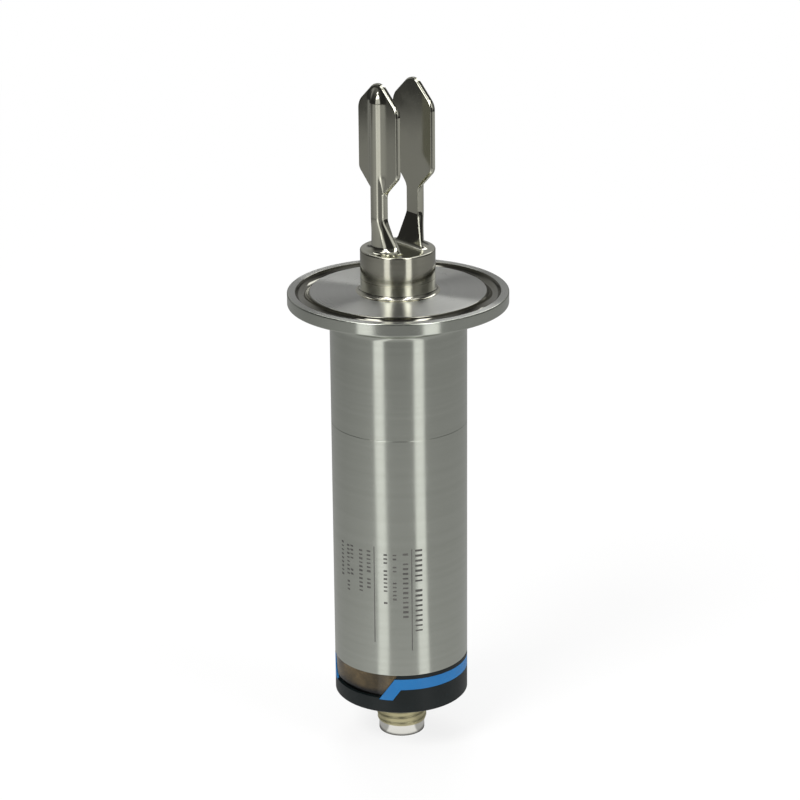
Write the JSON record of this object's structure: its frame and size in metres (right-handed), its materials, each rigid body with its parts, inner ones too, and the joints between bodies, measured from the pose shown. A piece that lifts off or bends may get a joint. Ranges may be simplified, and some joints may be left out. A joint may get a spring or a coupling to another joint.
{
  "type": "tuning fork level switch",
  "caption": "Tuning fork level switch with paddle tines on a clamp ferrule, a slim stainless electronics tube, a lighted end cap and a round threaded plug.",
  "frame": {"origin": "centre of the clamp ferrule's sealing face", "axes": "+Z along the axis towards the fork tips, the tines stand either side of the XZ plane with their paddles facing along Y"},
  "size_m": [0.0505, 0.0504, 0.1584],
  "materials": {
    "fork_steel": "polished",
    "body_steel": "fine turned satin",
    "inner_steel": "turned",
    "white_ceramic": "matte",
    "drive_ceramic": "matte",
    "contact_brass": "rolled",
    "lead_cover": "smooth",
    "carrier_plastic": "moulded",
    "board_laminate": "lacquered",
    "chip_plastic": "moulded",
    "capacitor_can": "drawn",
    "choke_ferrite": "matte",
    "window_plastic": "smoky translucent",
    "cap_plastic": "satin moulded",
    "band_blue": "satin",
    "seal_rubber": "moulded",
    "lamp_plastic": "clear",
    "plug_metal": "nickel plated",
    "insulator_plastic": "moulded",
    "pin_gold": "gold plated"
  },
  "bodies": {
    "root": {"fork": "fork_steel", "process_connection": "body_steel", "housing_tube": "body_steel", "pressure_pad": "inner_steel", "insulator_discs": "white_ceramic", "piezo_discs": "drive_ceramic", "contact_foils": "contact_brass", "clamp_screw": "inner_steel", "drive_leads": "lead_cover", "board_carrier": "carrier_plastic", "main_board": "board_laminate", "controller_chip": "chip_plastic", "driver_chips": "chip_plastic", "output_transistors": "chip_plastic", "storage_capacitors": "capacitor_can", "choke": "choke_ferrite", "light_ring": "window_plastic", "end_cap": "cap_plastic", "blue_band": "band_blue", "cap_seal": "seal_rubber", "lamp_board": "board_laminate", "status_lamps": "lamp_plastic", "plug_shell": "plug_metal", "plug_insulator": "insulator_plastic", "contact_pins": "pin_gold", "plug_seal": "seal_rubber", "lock_ring": "inner_steel"}
  },
  "joints": []
}
